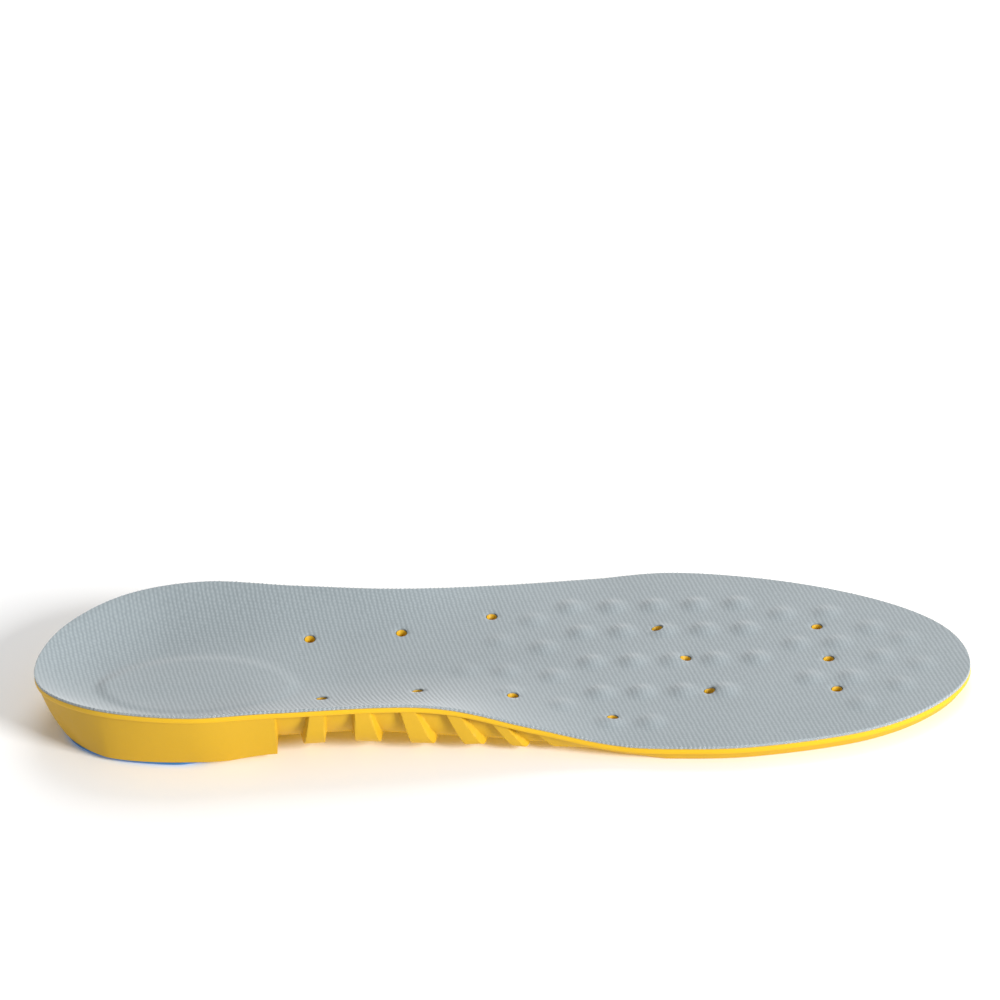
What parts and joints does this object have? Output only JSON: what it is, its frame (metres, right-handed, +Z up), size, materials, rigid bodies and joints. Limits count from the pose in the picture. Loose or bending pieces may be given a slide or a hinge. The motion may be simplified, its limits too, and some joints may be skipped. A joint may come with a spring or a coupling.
{
  "type": "cushioned insole",
  "caption": "Left-foot cushioned sport insole with a knit cover, moulded foam body with heel cup and ribbed arch, and domed gel pads under heel and forefoot.",
  "frame": {"origin": "middle of the insole's plan, on the surface that it rests on", "axes": "+X towards the toe, +Y towards the outer side of the foot, +Z up towards the foot"},
  "size_m": [0.2704, 0.0969, 0.0193],
  "materials": {
    "knit_cover": "fine ribbed polyester knit, matte, grey blue",
    "bond_film": "thin translucent film, matte",
    "yellow_foam": "moulded polyurethane foam with a smooth satin skin, yellow",
    "blue_gel": "soft satin gel, blue",
    "adhesive": "dried contact adhesive, matte"
  },
  "bodies": {
    "root": {"top_cover": "knit_cover", "cover_film": "bond_film", "foam_base": "yellow_foam", "forefoot_pad": "blue_gel", "forefoot_adhesive": "adhesive", "heel_pad": "blue_gel", "heel_adhesive": "adhesive"}
  },
  "joints": []
}
